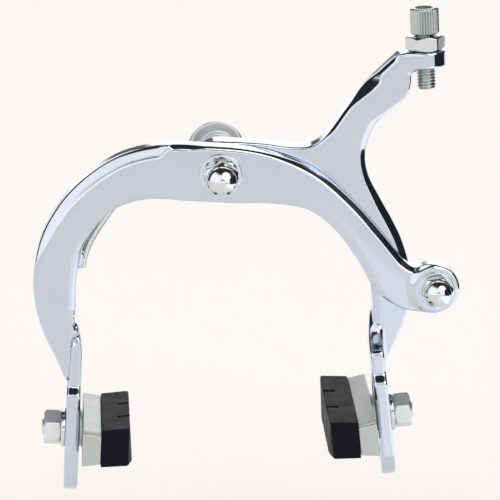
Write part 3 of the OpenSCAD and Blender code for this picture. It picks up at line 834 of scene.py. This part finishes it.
body = [(3.0, zz) for zz in threaded_profile(21.65, 38.55, 0.11)]
p = [(1.3, 21.9), (1.5, 21.62), (2.3, 21.6)] + body
p += fillet([(2.85, 38.6), (2.85, 38.9), (3.9, 38.92, 0.1), (4.5, 39.5, 0.2), (4.5, 46.55, 0.25), (3.95, 47.25, 0.2), (3.05, 47.3, 0.15),
             (2.62, 46.95, 0.1), (2.6, 40.35, 0.1), (1.5, 40.3, 0.1), (1.3, 40.1)], seg=4)
q = []
for i in range(len(p) - 1):
    a, b = np.array(p[i]), np.array(p[i + 1])
    k = max(1, int(math.ceil(np.linalg.norm(b - a) / 0.45))) if min(a[1], b[1]) > 38.5 or max(a[0], b[0]) < 2 else 1
    q += [tuple(a + (b - a) * j / k) for j in range(k)]
q.append(p[-1])
v, f = lathe(q, n=240, shape=barrel_shape, closed=True)
build("barrel_adjuster_knurled", turn_to(v, "+z", (CAB_X, CAB_Y, 0)), f, "barrel_metal", "barrel", ["barrel_adjuster"], sharp=50)
v, f = hex_nut(11, 4.6, 3.02)
build("barrel_hex_nut", turn_to(v, "+z", (CAB_X, CAB_Y, 33.95), 2), f, "bright_steel", "lock_nut", ["barrel_lock_nut"])

# ---------------------------------------------------------------- cable anchor
h = 0.16
lo = (60.2, -34.2, -45.8)
x, y, z = np.arange(lo[0], 71.8, h), np.arange(lo[1], -10.2, h), np.arange(lo[2], -34.2, h)
X, Z = np.meshgrid(x, z, indexing="ij")
rad = np.hypot(X - CAB_X, Z - EAR_Z)
ang = np.arctan2(Z - EAR_Z, X - CAB_X)
hexd = (rad * np.cos(np.mod(ang, np.pi / 3) - np.pi / 6) - 4.5)
wave = thread_wave(ang[:, None, :], y[None, :, None], 1.0, 0.5) * step(-24, -26, y)[None, :, None]
shank = np.maximum(rad[:, None, :] - 3.0 + wave, np.maximum(-33.1 - y, y + 14)[None, :, None])
head = rounded(hexd[:, None, :], np.maximum(-15.2 - y, y + 11.0)[None, :, None], 0.25)
cone = (rad[:, None, :] - 5.15 + np.maximum(y + 11.7, 0)[None, :, None] * 1.2) * 0.75
head = smax(head, cone, 0.2)
F = smin(shank, head, 0.25)
hole = (np.hypot(x[:, None] - CAB_X, y[None, :] - CAB_Y) - 1.1)[:, :, None]
F = smax(F, -hole, 0.25)
implicit("cable_anchor_bolt", F, lo, h, "zinc_steel", "cable_anchor", ["anchor_bolt"])
v, f = washer(5, 3.1, 1.55, 0.2)
build("cable_clamp_washer", turn_to(v, "+y", (CAB_X, -16.77, EAR_Z)), f, "zinc_steel", "cable_anchor", ["anchor_clamp_washer"])
v, f = washer(5.6, 3.1, 0.97, 0.3)
build("anchor_seat_washer", turn_to(v, "+y", (CAB_X, -28.3, EAR_Z)), f, "bright_steel", "cable_anchor", ["anchor_front_washer"])
v, f = cap_nut(9, 4.0, 8.4, 3.02, 4.6)
build("anchor_dome_nut", turn_to(v, "-y", (CAB_X, -28.3, EAR_Z), 8), f, "bright_steel", "cable_anchor", ["anchor_cap_nut"])

# ---------------------------------------------------------------- brake shoes
def poly_field(path, x, z):
    X, Z = np.meshgrid(x, z, indexing="ij")
    return dist_line(np.array(path, float), X, Z, closed=True)


WEDGE = math.tan(LEAN)
PT, PB, PAD_X = 12.2 * 0.54, 12.2 * 0.46, 18.4
h = 0.28
lo = (4.9, -23.2, -8.0)
x, y, z = np.arange(lo[0], 20.2, h), np.arange(lo[1], 23.3, h), np.arange(lo[2], 8.1, h)
d2 = blur2(poly_field([[9.05, -PT + 0.1], [PAD_X + PB * WEDGE, -PB], [PAD_X - PT * WEDGE, PT], [9.05, PB - 0.2]], x, z), 0.4)
PADF = rounded(d2[:, None, :], (np.abs(y) - 22)[None, :, None], 0.55)
for s in (-1, 1):
    c, sn = math.cos(math.radians(14)), math.sin(math.radians(14))
    face = ((x[:, None] - PAD_X) * c + (np.abs(y)[None, :] - 22 + 3.4) * sn)
    PADF = smax(PADF, face[:, :, None] - 0.05, 0.6) if s > 0 else PADF
    g = np.maximum(np.abs(y - s * 44 / 6)[None, :] - 0.55, 14.0 - x[:, None])
    g = rounded(np.broadcast_to((np.abs(y - s * 44 / 6) - 0.55)[None, :], g.shape), np.broadcast_to((14.0 - x)[:, None], g.shape), 0.4)
    PADF = smax(PADF, -g[:, :, None], 0.35)
tongue = poly_field([[9.3, -3.15], [9.3, 3.15], [5.85, 3.85], [5.85, -3.85]], x, z)
PADF = smin(PADF, rounded(tongue[:, None, :], (np.abs(y - 0.6) - 20.5)[None, :, None], 0.3), 0.3)
padlo = lo
h2 = 0.26
lo2 = (2.4, -23.0, -7.6)
x2, y2, z2 = np.arange(lo2[0], 9.9, h2), np.arange(lo2[1], 23.1, h2), np.arange(lo2[2], 6.7, h2)
d2 = blur2(poly_field([[3.2, -6.4], [3.2, 5.4], [9, 4.7], [9, -5.5]], x2, z2), 0.4)
HOLDF = rounded(d2[:, None, :], (np.abs(y2) - 22)[None, :, None], 0.35)
ch = poly_field([[9.8, -3.2], [9.8, 3.2], [5.7, 4], [5.7, -4]], x2, z2)
ch = np.maximum(ch[:, None, :], (-20.4 - y2)[None, :, None])
HOLDF = smax(HOLDF, -ch, 0.25)
# fine step across both ends, under the top edge
lip = np.abs(z2[None, :] - (4.75 - 0.12 * (x2[:, None] - 3.2))) - 0.26
HOLDF = smax(HOLDF, -np.maximum(lip[:, None, :], (21.4 - np.abs(y2))[None, :, None]), 0.1)
# shallow step where the shoe's boss meets the leg washer
X2, Z2 = np.meshgrid(y2, z2, indexing="ij")
HOLDF = smax(HOLDF, -(np.hypot(X2, Z2)[None, :, :] - 2.52 + 0 * x2[:, None, None]), 0.2)

for side, place, fix in (("left", left_place, left_place), ("right", right_place, right_clamp_place)):
    shoe, clamp = side + "_shoe", side + "_clamp"
    implicit(side + "_rubber_block", PADF, padlo, h, "pad_rubber", shoe, [side + "_pad"], place=place)
    implicit(side + "_holder_channel", HOLDF, lo2, h2, "shoe_alloy", shoe, [side + "_shoe_holder"], place=place)
    v, f = rod(3.0, -9.6, 3.1, -9.6, 2.0, lead1=False, n=48)
    stud = turn_to(v, "+x", (0, 0, 0))
    build(side + "_threaded_stud", place(stud), f, "zinc_steel", shoe, [side + "_shoe_stud"])
    p = fillet([(0, 3.0), (2.47, 3.0), (2.47, 5.2, 0.3), (0, 5.6)])
    v, f = lathe(p, n=48)
    build(side + "_stud_rivet", place(turn_to(v, "+x", (0, 0, 0))), f, "zinc_steel", shoe)
    v, f = washer(6.0, 3.15, 0.94, 0.2)
    build(side + "_serrated_washer", fix(turn_to(v, "+x", (2.22, 0, 0))), f, "zinc_steel", shoe, [side + "_inner_washer"])
    v, f = washer(6.2, 3.15, 1.37, 0.3)
    build(side + "_clamp_washer", fix(turn_to(v, "+x", (-3.6, 0, 0))), f, "bright_steel", clamp, [side + "_outer_washer"])
    v, f = hex_nut(10, 5.4, 3.02)
    build(side + "_clamp_nut", fix(turn_to(v, "+x", (-9.0, 0, 0), 3)), f, "zinc_steel", clamp, [side + "_shoe_nut"])

# ---------------------------------------------------------------- floor, light and camera
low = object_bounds()[0].z
me = bpy.data.meshes.new("floor")
R = 8.0
ring = [(R * math.cos(a), R * math.sin(a), 0) for a in np.linspace(0, 2 * np.pi, 65)[:-1]]
me.from_pydata([(0, 0, 0)] + ring, [], [(0, 1 + i, 1 + (i + 1) % 64) for i in range(64)])
floor = bpy.data.objects.new("floor", me)
floor.location.z = low - 0.03
bpy.context.scene.collection.objects.link(floor)
fm = bpy.data.materials.new("pale_floor")
fm.use_nodes = True
b = fm.node_tree.nodes["Principled BSDF"]
b.inputs["Base Color"].default_value = (0.95, 0.915, 0.885, 1)
b.inputs["Roughness"].default_value = 0.85
b.inputs["Specular IOR Level"].default_value = 0.1
me.materials.append(fm)

world = bpy.data.worlds.new("studio")
bpy.context.scene.world = world
world.use_nodes = True
nt = world.node_tree
nt.nodes.clear()
wo = nt.nodes.new("ShaderNodeOutputWorld")
bg = nt.nodes.new("ShaderNodeBackground")
pale = nt.nodes.new("ShaderNodeBackground")
pale.inputs["Color"].default_value = (0.965, 0.931, 0.905, 1)
pale.inputs["Strength"].default_value = 1.0
mix = nt.nodes.new("ShaderNodeMixShader")
lp = nt.nodes.new("ShaderNodeLightPath")
even = nt.nodes.new("ShaderNodeBackground")
even.inputs["Color"].default_value = (0.985, 0.99, 1.0, 1)
even.inputs["Strength"].default_value = 0.87
soft = nt.nodes.new("ShaderNodeMixShader")
nt.links.new(lp.outputs["Is Diffuse Ray"], soft.inputs[0])
nt.links.new(bg.outputs[0], soft.inputs[1])
nt.links.new(even.outputs[0], soft.inputs[2])
nt.links.new(lp.outputs["Is Camera Ray"], mix.inputs[0])
nt.links.new(soft.outputs[0], mix.inputs[1])
nt.links.new(pale.outputs[0], mix.inputs[2])
nt.links.new(mix.outputs[0], wo.inputs[0])
tc = nt.nodes.new("ShaderNodeTexCoord")


def math_node(op, a, b=None, clamp=False):
    n = nt.nodes.new("ShaderNodeMath")
    n.operation = op
    n.use_clamp = clamp
    for i, s in enumerate((a, b)):
        if s is None:
            continue
        if isinstance(s, (int, float)):
            n.inputs[i].default_value = s
        else:
            nt.links.new(s, n.inputs[i])
    return n.outputs[0]


def lobe(direction, c0, c1):
    """0 outside the cosine c0 from direction, 1 inside c1."""
    d = nt.nodes.new("ShaderNodeVectorMath")
    d.operation = "DOT_PRODUCT"
    nt.links.new(tc.outputs["Generated"], d.inputs[0])
    u = np.array(direction, float)
    u /= np.linalg.norm(u)
    d.inputs[1].default_value = tuple(u)
    m = nt.nodes.new("ShaderNodeMapRange")
    m.interpolation_type = "SMOOTHSTEP"
    m.inputs["From Min"].default_value = c0
    m.inputs["From Max"].default_value = c1
    nt.links.new(d.outputs["Value"], m.inputs["Value"])
    return m.outputs["Result"]


not_high = lobe((0, 0, -1), -0.90, -0.74)
middle = math_node("MULTIPLY", lobe((1, 0, 0), -0.55, -0.35), lobe((-1, 0, 0), -0.55, -0.35))
back = math_node("MULTIPLY", lobe((0, 1, 0), 0.38, 0.62), middle)
# a narrow dark gap in the back wall, just left of the middle
gap = math_node("MULTIPLY", lobe((1, 0, 0), -0.205, -0.165), lobe((-1, 0, 0), 0.03, 0.06))
back = math_node("MULTIPLY", back, math_node("SUBTRACT", 1.0, math_node("MULTIPLY", gap, 0.92)))
left = math_node("MULTIPLY", lobe((-1, 0, 0), 0.12, 0.45), math_node("MULTIPLY", not_high, lobe((0, -1, 0), -0.1, 0.15)))
wide = math_node("MAXIMUM", back, math_node("MULTIPLY", left, 0.85))
wide = math_node("MAXIMUM", wide, math_node("MULTIPLY", lobe((-0.25, -0.83, 0.50), 0.90, 0.97), 0.82))
box = lobe((0.50, -0.64, 0.56), 0.87, 0.905)
front = lobe((0, -1, 0.12), 0.80, 0.95)
skirt = math_node("MULTIPLY", lobe((0, -1, 0), 0.3, 0.6), lobe((0, 0, -1), -0.15, -0.11))
below = lobe((0, 0, -1), 0.0, 0.02)
s = math_node("MULTIPLY", wide, 1.5)
s = math_node("MAXIMUM", s, math_node("MULTIPLY", box, 2.2))
s = math_node("MAXIMUM", s, math_node("MULTIPLY", front, 0.25))
s = math_node("MAXIMUM", s, math_node("MULTIPLY", skirt, 1.35))
s = math_node("MAXIMUM", s, math_node("MULTIPLY", below, 0.9))
s = math_node("ADD", s, math_node("ADD", 0.03, math_node("MULTIPLY", lobe((1, 0, 0), 0.5, 0.9), 0.03)))
bg.inputs["Color"].default_value = (1.0, 0.985, 0.975, 1)
nt.links.new(s, bg.inputs["Strength"])


def area(name, at, aim, size, power, color=(1, 1, 1), glossy=False):
    d = bpy.data.lights.new(name, "AREA")
    d.shape = "DISK"
    d.size = size
    d.energy = power
    d.color = color
    o = bpy.data.objects.new(name, d)
    bpy.context.scene.collection.objects.link(o)
    o.location = at
    b_ = (np.array(at, float) - np.array(aim, float))
    b_ /= np.linalg.norm(b_)
    r_ = np.cross((0, 0, 1), b_)
    r_ = r_ / np.linalg.norm(r_) if np.linalg.norm(r_) > 1e-6 else np.array([1.0, 0, 0])
    u_ = np.cross(b_, r_)
    o.matrix_world = Matrix(((r_[0], u_[0], b_[0], at[0]), (r_[1], u_[1], b_[1], at[1]), (r_[2], u_[2], b_[2], at[2]), (0, 0, 0, 1)))
    o.visible_glossy = glossy
    return o


def card(name, corners, glow=0.0):
    """A black or lit studio card: it shows only in reflections, and isn't part of the object."""
    me = bpy.data.meshes.new(name)
    me.from_pydata(corners, [], [(0, 1, 2, 3)])
    m = bpy.data.materials.new(name)
    m.use_nodes = True
    q = m.node_tree.nodes["Principled BSDF"]
    q.inputs["Base Color"].default_value = (0.02, 0.023, 0.034, 1)
    q.inputs["Roughness"].default_value = 1.0
    q.inputs["Specular IOR Level"].default_value = 0.0
    if glow > 0:
        q.inputs["Emission Color"].default_value = (1, 1, 1, 1)
        q.inputs["Emission Strength"].default_value = glow
    me.materials.append(m)
    o = bpy.data.objects.new(name, me)
    bpy.context.scene.collection.objects.link(o)
    for k in ("visible_camera", "visible_diffuse", "visible_shadow", "visible_transmission"):
        setattr(o, k, False)
    return o


card("right_card", [(0.36, -0.30, low - 0.025), (0.36, 0.22, low - 0.025), (0.36, 0.22, 0.12), (0.36, -0.30, 0.12)])
card("front_card", [(0.045, -0.42, low - 0.022), (0.115, -0.42, low - 0.022), (0.115, -0.10, low - 0.022), (0.045, -0.10, low - 0.022)], 1.08)
card("low_card", [(0.12, -0.34, low - 0.02), (0.34, -0.34, low - 0.02), (0.34, 0.04, low - 0.02), (0.12, 0.04, low - 0.02)], 1.35)

area("key", (-0.5, -0.6, 1.3), (0, 0, -0.03), 1.4, 2.1)
area("fill", (0.7, -0.8, 1.0), (0, 0, -0.03), 1.2, 1.0)
area("rear", (0.1, 1.1, 1.1), (0, 0, -0.03), 1.4, 0.9)

cam = bpy.data.cameras.new("camera")
cam.sensor_width = 36.0
cam.lens = 3626.0 / 500.0 * 36.0
cam.clip_start = 0.05
cam.clip_end = 50
co = bpy.data.objects.new("camera", cam)
bpy.context.scene.collection.objects.link(co)
E, A, ROLL = math.radians(13.6), math.radians(-2.1), math.radians(2.4)
back_v = np.array([math.sin(A) * math.cos(E), -math.cos(A) * math.cos(E), math.sin(E)])
r0 = np.cross(-back_v, (0, 0, 1))
r0 /= np.linalg.norm(r0)
u0 = np.cross(r0, -back_v)
rv = math.cos(ROLL) * r0 - math.sin(ROLL) * u0
uv = math.sin(ROLL) * r0 + math.cos(ROLL) * u0
C = (-0.03219, -1.12596, 0.24168)
co.matrix_world = Matrix(((rv[0], uv[0], back_v[0], C[0]), (rv[1], uv[1], back_v[1], C[1]), (rv[2], uv[2], back_v[2], C[2]), (0, 0, 0, 1)))
bpy.context.scene.camera = co
bpy.context.scene.view_settings.view_transform = "Standard"
bpy.context.scene.view_settings.look = "None"
